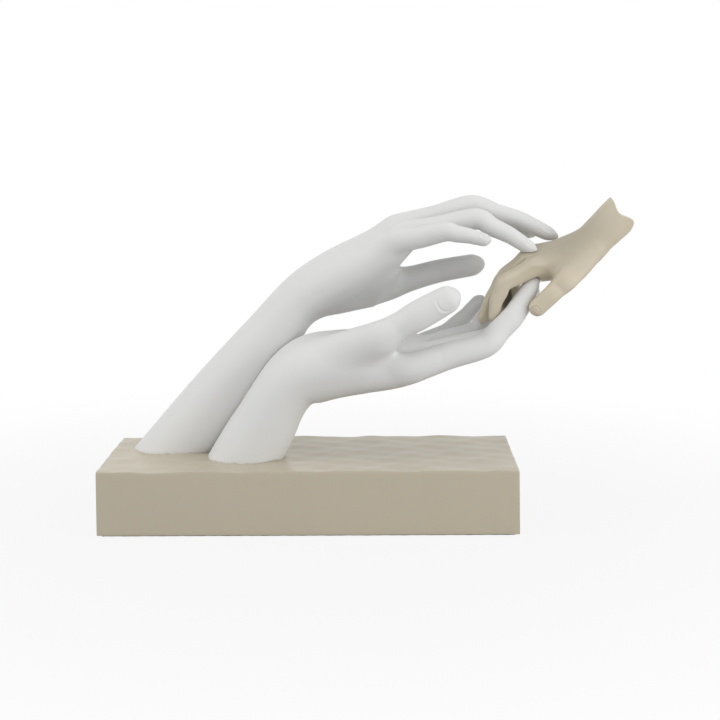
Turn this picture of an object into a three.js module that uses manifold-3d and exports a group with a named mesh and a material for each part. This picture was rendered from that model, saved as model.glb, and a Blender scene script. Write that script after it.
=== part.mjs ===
// Tabletop sculpture in cast resin: two adult right hands rise from a rippled
// block and cradle a small child's right hand between their fingertips.
// Millimetres, +Z up. The origin is the centre of the felt sheet's underside.
import * as THREE from "three";
import { mergeVertices } from "three/addons/utils/BufferGeometryUtils.js";
import Module from "manifold-3d";

const wasm = await Module();
wasm.setup();

// Base block
const BASE_LENGTH = 250;
const BASE_DEPTH = 100;
const BASE_HEIGHT = 38.5;
const BASE_DRAFT = 0.6;
const BASE_EDGE = 1;
const RIPPLE_HEIGHT = 1;
const RIPPLE_PITCH = 46;
const RIPPLE_CELL = 6.5;
// Its waves, each [turns along X, turns along Y, share of the height, start]
const RIPPLE_WAVES = [
  [1, 0.35, 0.45, 0],
  [-0.6, 1.7, 0.3, 2],
  [1.9, -0.8, 0.25, 4],
];

// Felt sheet under the block
const FELT_THICKNESS = 1;
const FELT_INSET = 2;

// Screwed fixing of each arm: bolt, washer and threaded insert
const BOLT_DIAMETER = 8;
const BOLT_ENGAGEMENT = 15;
const BOLT_HEAD_WIDTH = 13;
const BOLT_HEAD_HEIGHT = 5.3;
const WASHER_DIAMETER = 20;
const WASHER_THICKNESS = 2;
const INSERT_DIAMETER = 12;
const INSERT_LENGTH = 18;
const INSERT_GROOVE = 0.8;
const INSERT_RECESS = 1.5;
const COUNTERBORE_DIAMETER = 24;
const COUNTERBORE_DEPTH = 12;
const BOLT_HOLE_CLEARANCE = 0.5;
const REAR_BOLT_AHEAD = 9;
const FRONT_BOLT_AHEAD = 5;
const HARDWARE_CLEARANCE = 0.15;

// Locating dowel beside each bolt, and the pin from fingertip to palm
const DOWEL_DIAMETER = 6;
const DOWEL_LENGTH = 20;
const DOWEL_OFFSET = 12;
const PIN_DIAMETER = 2.5;
const PIN_LENGTH = 12;

// Fit between the castings
const CASTING_GAP = 0.3;

// Wavy end of the child's forearm: how deep and long its wave is, how far its
// lobe lies below the forearm's middle, and how softly the lobe rounds off
const WAVE_DEPTH = 1.7;
const WAVE_PITCH = 19;
const WAVE_LOBE = 6.5;
const WAVE_ROUNDING = 6;
const WAVE_STEP = 1.5;

// Mesh fineness
const DIGIT_SIDES = 12;
const ARM_SIDES = 26;
const ROUND_SIDES = 20;
const RINGS_PER_STATION = 2;
const DOME_RINGS = 4;

const UP = new THREE.Vector3(0, 0, 1);
const UNDERSIDE = FELT_THICKNESS;
const TOP = FELT_THICKNESS + BASE_HEIGHT;
const BOLT_SEAT = UNDERSIDE + COUNTERBORE_DEPTH;

// Where each arm stands on the block. Its bolt stands ahead of the foot's
// centre, because the arm leans that way.
const REAR_FOOT = [-83, 21];
const FRONT_FOOT = [-39, -6];
const REAR_BOLT = [REAR_FOOT[0] + REAR_BOLT_AHEAD, REAR_FOOT[1]];
const FRONT_BOLT = [FRONT_FOOT[0] + FRONT_BOLT_AHEAD, FRONT_FOOT[1]];

// Each hand is an arm, lofted from the foot of the forearm to the knuckles,
// with five digits. An arm's section is [x, y, z, half width, back, palm]: its
// centre, its half width towards the thumb, and how far it reaches towards the
// back of the hand and towards the palm. A digit starts at a root in the palm
// and follows its bones, each [length, bearing from +X towards +Y, rise], in
// degrees. Width is half its breadth at the knuckle. Heights are above the
// block's top, and an adult arm's x and y are measured from its foot.
const REAR_HAND = {
  foot: REAR_FOOT,
  thumbSide: [0, 1, 0.1],
  arm: [
    [-25, -0.5, -30, 22.5, 23.5, 20],
    [21, 1, 24, 22.5, 22.8, 19],
    [45, 2, 53, 23, 21, 18],
    [63, 4, 75, 23.5, 18.3, 16.5],
    [75, 5, 90, 24, 16.5, 16],
    [88, 5, 100.5, 26, 15.5, 15.5],
    [110, 4, 114, 29.5, 14, 14],
    [130, 2, 126, 30, 12, 12],
    [148, -1, 134.5, 24, 8, 8],
  ],
  index: {
    root: [112, 17, 117], width: 8.6,
    bones: [[31, 16, 33], [44, -7, 17], [28, -13, -16], [21, -15, -25]],
  },
  middle: {
    root: [112, 6, 118.5], width: 8.8,
    bones: [[31, 2, 36], [50.5, -7, 16], [30.5, -10, -16], [24.5, -10, -25]],
  },
  ring: {
    root: [114, -6, 118], width: 8.4,
    bones: [[30, -9, 32], [47.5, -7, 13], [23.5, -14, -24], [18.5, -11, -29]],
  },
  pinky: {
    root: [116, -16, 116], width: 7.8,
    bones: [[27, -23, 31], [31, -17, 15], [15, -12, -7], [13, -10, -21]],
  },
  thumb: {
    root: [81, 10, 90], width: 11, side: [0, 0, -1],
    bones: [[52, 15, 12], [36, -7, 14], [29.5, -12, 7]],
  },
};

const FRONT_HAND = {
  foot: FRONT_FOOT,
  thumbSide: [0, -1, -0.3],
  arm: [
    [-18, 0, -30, 22, 21, 21],
    [2, 0, 4.5, 22, 20.5, 20.5],
    [10.5, -0.5, 18.5, 22, 19.8, 19.8],
    [20, -1.5, 36, 22.5, 18, 18],
    [29.5, -2, 48, 23.5, 18, 18],
    [41, -2, 54.5, 25, 20, 18.5],
    [56, -1, 57.5, 27, 18.6, 17],
    [73, 1, 59.5, 30, 16.8, 15],
    [93, 2.5, 61, 31, 13.3, 12],
    [113, 2, 67, 26, 11, 8],
  ],
  index: {
    root: [76, -16, 58.5], width: 9,
    bones: [[26.5, -17, 2], [44.5, 2, 16], [27.5, 18, 42], [24, 26, 49]],
  },
  middle: {
    root: [76, 0, 59], width: 8.8,
    bones: [[27.5, -10, 2], [48.5, 2, 16], [28, 14, 42], [23, 16, 49]],
  },
  ring: {
    root: [75, 14, 60], width: 8.4,
    bones: [[27, 0, 4], [45.5, 0, 19], [27, 6, 42], [17.5, 11, 54]],
  },
  pinky: {
    root: [72, 26, 61.5], width: 7.8,
    bones: [[27.5, 10, 5], [27.5, 1, 25], [15.5, -6, 43], [14, -12, 43]],
  },
  thumb: {
    root: [39, -7, 60], width: 11, side: [0, 0, 1],
    bones: [[52.5, -29, 24], [27, -4, 22], [24.5, 0, 19]],
  },
};

// The child's arm is measured from the block's centre. Its second section is
// where the wavy end is cut.
const CHILD_HAND = {
  foot: [0, 0],
  thumbSide: [0, -1, -0.4],
  arm: [
    [206, -1.5, 162.5, 12.8, 11.5, 11.5],
    [188, -2, 146.3, 12.6, 11, 11.5],
    [178, -3, 136.5, 12.5, 10.5, 10.5],
    [169, -4, 128.5, 12.5, 9.5, 9.5],
    [153.5, -5, 121, 17, 9, 9],
    [139, -5, 117.5, 18, 8, 8],
    [128, -5, 114, 15, 5.5, 5.5],
  ],
  index: {
    root: [148, -14, 119], width: 5.6,
    bones: [[15, -160, -10], [18.5, -173, -27], [13, 169, -66], [12.5, 146, -81]],
  },
  middle: {
    root: [147.5, -5, 122], width: 5.6,
    bones: [[15, -168, -6], [21, -177, -30], [15, 180, -68], [15, 180, -70]],
  },
  ring: {
    root: [148.5, 3, 122.5], width: 5.4,
    bones: [[13.5, 180, -4], [20, 180, -30], [14.5, 180, -67], [13.5, 180, -75]],
  },
  pinky: {
    root: [150, 10, 122], width: 4.9,
    bones: [[11.5, 165, -7], [17.5, 176, -30], [12.5, 180, -67], [10, 180, -76]],
  },
  thumb: {
    root: [171, -11, 125], width: 6.4, side: [0.8, 0, -0.6],
    bones: [[27, -143, -36], [13, -163, -41], [14.5, 180, -43]],
  },
};

// How a digit swells and tapers: [half width, back, palm] as shares of its
// width, at each joint and once between joints.
const FINGER_FORM = [
  [0.93, 0.93, 0.93],
  [0.97, 0.95, 0.97],
  [1, 0.98, 1.02],
  [0.91, 0.87, 0.92],
  [0.88, 0.82, 0.79],
  [0.79, 0.71, 0.74],
  [0.76, 0.67, 0.66],
  [0.74, 0.6, 0.66],
  [0.66, 0.52, 0.58],
];
const THUMB_FORM = [
  [0.7, 0.7, 0.7],
  [1.16, 1.08, 1.16],
  [1, 0.91, 0.91],
  [0.86, 0.78, 0.8],
  [0.79, 0.72, 0.71],
  [0.8, 0.62, 0.68],
  [0.74, 0.52, 0.6],
];
const DIGITS = ["index", "middle", "ring", "pinky", "thumb"];

// Where the station between two joints lies: midway, or behind the pad of the tip.
const MID_BONE = 0.5;
const PAD = 0.68;

// Turns a closed geometry into a solid that can be joined and cut.
function solid(geometry) {
  const bare = new THREE.BufferGeometry().setAttribute("position", geometry.getAttribute("position"));
  bare.setIndex(geometry.getIndex());
  const merged = mergeVertices(bare, 1e-4);
  return new wasm.Manifold(
    new wasm.Mesh({
      numProp: 3,
      vertProperties: merged.getAttribute("position").array,
      triVerts: new Uint32Array(merged.getIndex().array),
    }),
  );
}

// Turns a solid back into a geometry.
function geometryOf(body) {
  const mesh = body.getMesh();
  const geometry = new THREE.BufferGeometry();
  geometry.setAttribute("position", new THREE.BufferAttribute(mesh.vertProperties, 3));
  geometry.setIndex(new THREE.BufferAttribute(mesh.triVerts, 1));
  geometry.computeVertexNormals();
  return geometry;
}

// Joins rings of points, each with the same count, into a closed skin with
// a flat fan at each end.
function skin(rings) {
  const around = rings[0].length;
  const positions = rings.flat().flatMap((p) => [p.x, p.y, p.z]);
  const triangles = [];
  for (let row = 0; row + 1 < rings.length; row++)
    for (let i = 0; i < around; i++) {
      const a = row * around + i;
      const b = row * around + ((i + 1) % around);
      triangles.push(a, b, b + around, a, b + around, a + around);
    }
  [0, rings.length - 1].forEach((row) => {
    const middle = new THREE.Vector3();
    rings[row].forEach((p) => middle.addScaledVector(p, 1 / around));
    const hub = positions.length / 3;
    positions.push(middle.x, middle.y, middle.z);
    for (let i = 0; i < around; i++) {
      const a = row * around + i;
      const b = row * around + ((i + 1) % around);
      triangles.push(...(row === 0 ? [hub, b, a] : [hub, a, b]));
    }
  });
  const geometry = new THREE.BufferGeometry();
  geometry.setAttribute("position", new THREE.Float32BufferAttribute(positions, 3));
  geometry.setIndex(triangles);
  return geometry;
}

// A limb: sections carried along a smooth curve through its stations, each
// [x, y, z, half width, back, palm]. The last stretch closes as a dome. Square
// above 2 flattens the sections' sides. Grow adds the same amount all round.
function limb(stations, { side, square, around, grow = 0 }) {
  const curve = (pick) => new THREE.CatmullRomCurve3(stations.map(pick), false, "catmullrom");
  const path = curve(([x, y, z]) => new THREE.Vector3(x, y, z));
  const girth = curve(([, , , wide, back, palm]) => new THREE.Vector3(wide + grow, back + grow, palm + grow));
  const stretches = stations.length - 1;
  const power = (v) => Math.sign(v) * Math.abs(v) ** (2 / square);
  const section = (t, share, onward) => {
    const size = girth.getPoint(t).multiplyScalar(share);
    const along = path.getTangent(t);
    const centre = path.getPoint(t).addScaledVector(along, onward);
    const across = new THREE.Vector3(...side);
    across.addScaledVector(along, -along.dot(across)).normalize();
    const back = along.clone().cross(across);
    return Array.from({ length: around }, (_, i) => {
      const angle = (2 * Math.PI * i) / around;
      const reach = Math.sin(angle) > 0 ? size.y : size.z;
      return centre
        .clone()
        .addScaledVector(across, size.x * power(Math.cos(angle)))
        .addScaledVector(back, reach * power(Math.sin(angle)));
    });
  };
  const rings = [];
  for (let step = 0; step <= (stretches - 1) * RINGS_PER_STATION; step++)
    rings.push(section(step / RINGS_PER_STATION / stretches, 1, 0));
  for (let step = 1; step < DOME_RINGS; step++) {
    const angle = (step / DOME_RINGS) * (Math.PI / 2);
    const rise = Math.sin(angle);
    rings.push(section((stretches - 1 + rise) / stretches, Math.cos(angle), grow * rise));
  }
  return solid(skin(rings));
}

// The joints of a digit, from its root to its tip.
function joints({ root, bones }, [footX, footY]) {
  const at = new THREE.Vector3(root[0] + footX, root[1] + footY, root[2] + TOP);
  const found = [at.clone()];
  for (const [length, bearing, rise] of bones) {
    const level = length * Math.cos(THREE.MathUtils.degToRad(rise));
    at.x += level * Math.cos(THREE.MathUtils.degToRad(bearing));
    at.y += level * Math.sin(THREE.MathUtils.degToRad(bearing));
    at.z += length * Math.sin(THREE.MathUtils.degToRad(rise));
    found.push(at.clone());
  }
  return found;
}

function digitBody(hand, name, grow) {
  const digit = hand[name];
  const form = name === "thumb" ? THUMB_FORM : FINGER_FORM;
  const found = joints(digit, hand.foot);
  const places = [];
  found.forEach((joint, i) => {
    places.push(joint);
    const next = found[i + 1];
    if (next) places.push(joint.clone().lerp(next, i === found.length - 2 ? PAD : MID_BONE));
  });
  const stations = places.map((at, i) => [...at.toArray(), ...form[i].map((share) => share * digit.width)]);
  return limb(stations, { side: digit.side ?? hand.thumbSide, square: 2, around: DIGIT_SIDES, grow });
}

function handBody(hand, grow = 0) {
  const [footX, footY] = hand.foot;
  const sections = hand.arm.map(([x, y, z, ...girth]) => [x + footX, y + footY, z + TOP, ...girth]);
  const arm = limb(sections, { side: hand.thumbSide, square: 2.3, around: ARM_SIDES, grow });
  return DIGITS.reduce((whole, name) => whole.add(digitBody(hand, name, grow)), arm);
}

// Height of the block's top above its level.
function ripple(x, y) {
  const turn = (2 * Math.PI) / RIPPLE_PITCH;
  const waves = RIPPLE_WAVES.map(([alongX, alongY, share, start]) => {
    return share * Math.sin(turn * (alongX * x + alongY * y) + start);
  });
  return (RIPPLE_HEIGHT / 2) * waves.reduce((sum, wave) => sum + wave);
}

// Ground under a rippled surface, raised by lift, as far as the block reaches.
// Its rim drops away at 45 degrees, which breaks the block's upper edge.
function rippledGround(lift = 0) {
  const margin = 5;
  const size = [BASE_LENGTH, BASE_DEPTH];
  const cells = size.map((length) => Math.round(length / RIPPLE_CELL));
  const depth = BASE_HEIGHT + margin;
  const geometry = new THREE.BoxGeometry(...size, depth, ...cells, 1);
  const position = geometry.getAttribute("position");
  const at = new THREE.Vector3();
  for (let i = 0; i < position.count; i++) {
    at.fromBufferAttribute(position, i);
    const rings = [at.x, at.y].map((v, k) => cells[k] / 2 - Math.abs((v * cells[k]) / size[k]));
    const [x, y] = [at.x, at.y].map((v, k) => {
      const half = size[k] / 2;
      if (rings[k] < 0.5) return Math.sign(v) * (half + margin);
      return rings[k] < 1.5 ? Math.sign(v) * (half - BASE_EDGE) : v;
    });
    const isRim = Math.min(...rings) < 0.5;
    const drop = isRim ? BASE_EDGE + margin : 0;
    position.setXYZ(i, x, y, at.z > 0 ? TOP + lift + ripple(x, y) - drop : UNDERSIDE - margin);
  }
  return solid(geometry);
}

// The block: sides that spread by the draft towards the bottom, up to the ripples.
function blockBody() {
  const height = BASE_HEIGHT + RIPPLE_HEIGHT;
  const geometry = new THREE.BoxGeometry(BASE_LENGTH, BASE_DEPTH, height);
  const position = geometry.getAttribute("position");
  for (let i = 0; i < position.count; i++) {
    if (position.getZ(i) > 0) continue;
    position.setX(i, position.getX(i) + Math.sign(position.getX(i)) * BASE_DRAFT);
    position.setY(i, position.getY(i) + Math.sign(position.getY(i)) * BASE_DRAFT);
  }
  geometry.translate(0, 0, UNDERSIDE + height / 2);
  return solid(geometry).intersect(rippledGround());
}

// An upright rod between two heights.
function rod(diameter, [x, y], low, high, sides = ROUND_SIDES) {
  const geometry = new THREE.CylinderGeometry(diameter / 2, diameter / 2, high - low, sides);
  geometry.rotateX(Math.PI / 2).translate(x, y, (low + high) / 2);
  return solid(geometry);
}

// A turned piece from its profile of [radius, height] points, standing at x, y.
function turned(profile, [x, y]) {
  const points = [...profile, profile[0]].map(([radius, height]) => new THREE.Vector2(radius, height));
  const geometry = new THREE.LatheGeometry(points, ROUND_SIDES);
  geometry.rotateX(Math.PI / 2).translate(x, y, 0);
  return solid(geometry);
}

const dowelAt = ([x, y]) => [x, y + DOWEL_OFFSET];

// What the block loses under one arm: counterbore, bolt hole and dowel hole.
function blockHoles(bolt) {
  const below = UNDERSIDE - 1;
  const above = TOP + RIPPLE_HEIGHT + 1;
  const holeWidth = BOLT_DIAMETER + 2 * BOLT_HOLE_CLEARANCE;
  const dowelWidth = DOWEL_DIAMETER + 2 * HARDWARE_CLEARANCE;
  const dowelFloor = TOP - DOWEL_LENGTH / 2 - HARDWARE_CLEARANCE;
  return rod(COUNTERBORE_DIAMETER, bolt, below, BOLT_SEAT)
    .add(rod(holeWidth, bolt, below, above))
    .add(rod(dowelWidth, dowelAt(bolt), dowelFloor, above));
}

// What an arm loses at its foot: the hole for the insert and the dowel hole.
function armHoles(bolt) {
  const below = TOP - RIPPLE_HEIGHT - 1;
  const insertWidth = INSERT_DIAMETER + 2 * HARDWARE_CLEARANCE;
  const insertRoof = TOP + INSERT_RECESS + INSERT_LENGTH + HARDWARE_CLEARANCE;
  const dowelWidth = DOWEL_DIAMETER + 2 * HARDWARE_CLEARANCE;
  const dowelRoof = TOP + DOWEL_LENGTH / 2 + HARDWARE_CLEARANCE;
  return rod(insertWidth, bolt, below, insertRoof).add(rod(dowelWidth, dowelAt(bolt), below, dowelRoof));
}

// Everything that an arm may not enter: the rippled top and all below it.
function ground() {
  const depth = 4 * BASE_HEIGHT;
  const geometry = new THREE.BoxGeometry(2 * BASE_LENGTH, 2 * BASE_DEPTH, depth);
  geometry.translate(0, 0, TOP - BASE_HEIGHT / 4 - depth / 2);
  return rippledGround(CASTING_GAP).add(solid(geometry));
}

// Hexagon bolt, from its head in the counterbore to its end in the insert.
function boltBody(bolt) {
  const headTop = BOLT_SEAT - WASHER_THICKNESS;
  const headDiameter = BOLT_HEAD_WIDTH / Math.cos(Math.PI / 6);
  const shankTop = TOP + INSERT_RECESS + BOLT_ENGAGEMENT;
  const head = rod(headDiameter, bolt, headTop - BOLT_HEAD_HEIGHT, headTop, 6);
  return head.add(rod(BOLT_DIAMETER, bolt, headTop - 1, shankTop));
}

function washerBody(bolt) {
  const inner = BOLT_DIAMETER / 2 + HARDWARE_CLEARANCE;
  const outer = WASHER_DIAMETER / 2;
  const low = BOLT_SEAT - WASHER_THICKNESS;
  return turned([[inner, low], [outer, low], [outer, BOLT_SEAT], [inner, BOLT_SEAT]], bolt);
}

// Threaded brass insert, with three grooves round it that key it in the resin.
function insertBody(bolt) {
  const inner = BOLT_DIAMETER / 2 + HARDWARE_CLEARANCE;
  const outer = INSERT_DIAMETER / 2;
  const low = TOP + INSERT_RECESS;
  const grooves = 3;
  const land = INSERT_LENGTH / (2 * grooves + 1);
  const profile = [[inner, low], [outer, low]];
  for (let groove = 0; groove < grooves; groove++) {
    const start = low + land * (2 * groove + 1);
    const bottom = outer - INSERT_GROOVE;
    profile.push([outer, start], [bottom, start], [bottom, start + land], [outer, start + land]);
  }
  profile.push([outer, low + INSERT_LENGTH], [inner, low + INSERT_LENGTH]);
  return turned(profile, bolt);
}

// A rod along the front index finger's last bone, centred on the fingertip.
function pinBody(diameter, length) {
  const [knuckle, tip] = joints(FRONT_HAND.index, FRONT_HAND.foot).slice(-2);
  const geometry = new THREE.CylinderGeometry(diameter / 2, diameter / 2, length, ROUND_SIDES / 2);
  geometry.rotateX(Math.PI / 2);
  const direction = tip.clone().sub(knuckle).normalize();
  geometry.applyQuaternion(new THREE.Quaternion().setFromUnitVectors(UP, direction));
  geometry.translate(...tip.toArray());
  return solid(geometry);
}

// What the child's forearm loses past its wavy end. The wave runs across the
// forearm in the view from the front, and dies away into its lower edge.
function pastTheWave() {
  const [far, cut] = CHILD_HAND.arm;
  const reach = 2 * WAVE_PITCH;
  const turn = (2 * Math.PI) / WAVE_PITCH;
  const outline = [];
  for (let v = -reach; v <= reach; v += WAVE_STEP) {
    const wave = WAVE_DEPTH * (1 + Math.cos(turn * (v + WAVE_LOBE)));
    const rounding = Math.max(0, -v - WAVE_LOBE) ** 2 / WAVE_ROUNDING;
    outline.push(new THREE.Vector2(wave - rounding, v));
  }
  outline.push(new THREE.Vector2(reach, reach), new THREE.Vector2(reach, -reach));
  const geometry = new THREE.ExtrudeGeometry(new THREE.Shape(outline), { depth: reach, bevelEnabled: false });
  geometry.translate(0, 0, -reach / 2).rotateX(Math.PI / 2);
  geometry.rotateY(-Math.atan2(far[2] - cut[2], far[0] - cut[0]));
  geometry.translate(cut[0], cut[1], cut[2] + TOP);
  return solid(geometry);
}

function material(color, roughness, metalness = 0) {
  return new THREE.MeshStandardMaterial({ color, roughness, metalness });
}
const WHITE_RESIN = material(0xe6e6e4, 0.6);
const TAUPE_RESIN = material(0xb5a992, 0.7);
const FELT = material(0x3b3a38, 1);
const ZINC = material(0xb8bcc0, 0.35, 1);
const BRASS = material(0xc9a45a, 0.35, 1);

const part = new THREE.Group();
function place(name, body, finish) {
  const mesh = new THREE.Mesh(geometryOf(body), finish);
  mesh.name = name;
  part.add(mesh);
}

// The block and the felt under it
const block = [REAR_BOLT, FRONT_BOLT].reduce((body, bolt) => body.subtract(blockHoles(bolt)), blockBody());
place("base_block", block, TAUPE_RESIN);
const felt = new THREE.BoxGeometry(BASE_LENGTH - 2 * FELT_INSET, BASE_DEPTH - 2 * FELT_INSET, FELT_THICKNESS);
felt.translate(0, 0, FELT_THICKNESS / 2);
place("felt_sheet", solid(felt), FELT);

// The three castings. The front hand keeps its whole form, the child's hand
// makes room for its fingertips, and the rear hand makes room for both.
const pinHole = pinBody(PIN_DIAMETER + 2 * HARDWARE_CLEARANCE, PIN_LENGTH + 2 * HARDWARE_CLEARANCE);
const frontHand = handBody(FRONT_HAND).subtract(ground()).subtract(armHoles(FRONT_BOLT)).subtract(pinHole);
const childHand = handBody(CHILD_HAND)
  .subtract(pastTheWave())
  .subtract(handBody(FRONT_HAND, CASTING_GAP))
  .subtract(pinHole);
const rearHand = handBody(REAR_HAND)
  .subtract(ground())
  .subtract(handBody(FRONT_HAND, CASTING_GAP))
  .subtract(handBody(CHILD_HAND, CASTING_GAP))
  .subtract(armHoles(REAR_BOLT));
place("rear_hand", rearHand, WHITE_RESIN);
place("front_hand", frontHand, WHITE_RESIN);
place("child_hand", childHand, TAUPE_RESIN);

// What fixes each arm to the block
for (const [name, bolt] of [["rear", REAR_BOLT], ["front", FRONT_BOLT]]) {
  place(`${name}_arm_bolt`, boltBody(bolt), ZINC);
  place(`${name}_arm_washer`, washerBody(bolt), ZINC);
  place(`${name}_arm_insert`, insertBody(bolt), BRASS);
  const half = DOWEL_LENGTH / 2;
  place(`${name}_arm_dowel`, rod(DOWEL_DIAMETER, dowelAt(bolt), TOP - half, TOP + half), ZINC);
}
place("child_hand_pin", pinBody(PIN_DIAMETER, PIN_LENGTH), ZINC);

export default part;
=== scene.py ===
"""Hand sculpture: two large hands in white resin rise from a rippled block and
hold a small taupe hand between their fingertips.

Lengths in the tables and sizes are millimetres. The scene is in metres, in the
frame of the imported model: +Z up, with the origin under the middle of the block.
"""

import math
from types import SimpleNamespace

import bpy
import numpy as np
from bpy.props import FloatProperty, FloatVectorProperty, PointerProperty
from mathutils import Matrix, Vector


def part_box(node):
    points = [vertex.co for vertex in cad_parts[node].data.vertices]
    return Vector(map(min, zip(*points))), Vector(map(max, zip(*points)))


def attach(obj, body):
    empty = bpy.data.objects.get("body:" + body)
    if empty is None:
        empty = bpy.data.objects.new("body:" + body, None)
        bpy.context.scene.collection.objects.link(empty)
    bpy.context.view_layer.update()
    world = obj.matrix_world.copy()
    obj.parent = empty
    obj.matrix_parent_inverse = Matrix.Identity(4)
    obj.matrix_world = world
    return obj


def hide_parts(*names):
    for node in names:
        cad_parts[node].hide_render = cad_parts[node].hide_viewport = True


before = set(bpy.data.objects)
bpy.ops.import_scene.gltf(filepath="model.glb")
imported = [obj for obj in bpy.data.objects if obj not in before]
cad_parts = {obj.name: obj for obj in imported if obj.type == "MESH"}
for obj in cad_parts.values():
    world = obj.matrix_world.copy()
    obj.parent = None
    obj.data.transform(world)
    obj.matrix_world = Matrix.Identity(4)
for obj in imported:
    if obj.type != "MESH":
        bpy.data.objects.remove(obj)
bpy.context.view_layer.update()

bl_info = {
    "name": "Hand Sculpture",
    "version": (1, 0, 0),
    "blender": (4, 5, 0),
    "location": "3D Viewport > Sidebar > Sculpture",
    "description": "Builds a resin sculpture of three hands on a rippled block",
    "category": "Object",
}

MM = 0.001


def packed_box(node):
    """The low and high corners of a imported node's box, in millimetres."""
    return [np.array(corner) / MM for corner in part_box(node)]


# The block and its felt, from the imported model. The top is level at BLOCK_TOP,
# and its ripples rise and fall by half of RIPPLE_HEIGHT.
BLOCK_LOW, BLOCK_HIGH = packed_box("base_block")
FELT_LOW, FELT_HIGH = packed_box("felt_sheet")
BLOCK_TOP = 39.5
BLOCK_DRAFT = 0.6
RIPPLE_HEIGHT = 1.0
RIPPLE_PITCH = 46.0
# Each wave of the ripples is [turns along X, turns along Y, share, start].
RIPPLE_WAVES = np.array([
    [1, 0.35, 0.45, 0], [-0.6, 1.7, 0.3, 2], [1.9, -0.8, 0.25, 4],
    [1.1, 2.9, 0.22, 1], [-2.3, 2.4, 0.16, 3],
])

# The felt's mesh: its fineness, the rounding of its edges, and how far its cut
# edges wander
FELT_CELL = 1.0
FELT_ROUNDING = 0.3
FELT_WANDER = 0.12

# Each hand is an arm, from its foot to the knuckles, with five digits. Heights
# are above the block's top, and x and y are from the foot.
# thumb_side: the direction towards the thumb. thumb_edge and heel_side take its
# part for the thumb and for the heel.
# arm: sections [x, y, z, half width, back, palm], each a centre, the half width
# towards the thumb, and the reach towards the back of the hand and the palm.
# heel: the ball of the thumb, in the same terms.
# index to thumb: a root in the palm, half the breadth at the knuckle, and bones,
# each [length, bearing from +X towards +Y, rise], in degrees.
# forms: the forms of digits that differ from FINGER_FORM, and of the thumb.
# webs: how far along the next bones the skin between fingers runs.
# taper: how much the digits thin. power: how square they are, 2 for an ellipse.
# wrist: its place in sections of the arm.
# nail and unit: the sizes of nails and of other details, 1 for an adult.
REAR_HAND = {
    "foot": (-83, 21),
    "thumb_side": (0, 1, 0.1),
    "arm": [
        [-25, -0.5, -30, 22.5, 23.5, 20], [21, 1, 24, 22.5, 22.8, 19],
        [45, 2, 53, 23, 20.7, 18], [63, 4, 75, 23.5, 18.3, 15.8],
        [75, 5, 90, 24, 16.7, 11.7], [88, 5, 100.5, 26, 16.9, 12],
        [110, 4, 114, 29.5, 15.5, 13.5], [130, 2, 126, 30, 12, 13.8],
        [152, -1, 136.5, 26, 8.5, 11.5],
    ],
    "heel_side": (0, 1, -0.5),
    "heel": [
        [66, 6, 80, 12, 10, 8], [85, 6, 94.2, 19, 11, 7],
        [99, 6, 99.5, 23, 12, 9], [112, 6, 104.5, 26, 12, 11],
        [123, 7, 107.5, 25, 12, 12.6], [137, 13, 107.5, 20, 10, 9.5],
    ],
    "index": ((112, 17, 117), 8.6,
        [[31, 16, 33], [44, -7, 17], [28, -13, -12], [22, -15, -23]]),
    "middle": ((112, 6, 118.5), 8.8,
        [[31, 2, 36.5], [48.9, -7, 17], [32.2, -10, -16], [25.4, -10, -24.5]]),
    "ring": ((114, -6, 118), 8.4,
        [[30, -11, 32], [47.7, -11, 13], [24, -20, -24], [19, -20, -29.5]]),
    "pinky": ((116, -16, 116), 7.6,
        [[27, -23, 34.2], [31, -17, 12.6], [15.5, -12, -9.4], [13.2, -10, -12.5]]),
    "thumb": ((81, 10, 89), 10,
        [[52, 15, 12], [36, -7, 15], [29.5, -12, 10.8]]),
    "forms": {"thumb": [
        [0.7, 0.7, 0.7], [0.93, 1, 1.1], [1.01, 0.9, 0.92], [0.82, 0.74, 0.78], [0.76, 0.66, 0.7],
        [0.72, 0.54, 0.62], [0.64, 0.4, 0.48],
    ]},
    "thumb_edge": (0, 0, -1),
    "nail": 1.0,
    "webs": (0.45, 1.0, 0.5),
    "taper": 1.0,
    "power": 2.0,
    "wrist": 4.6,
    "unit": 1.0,
}
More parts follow.
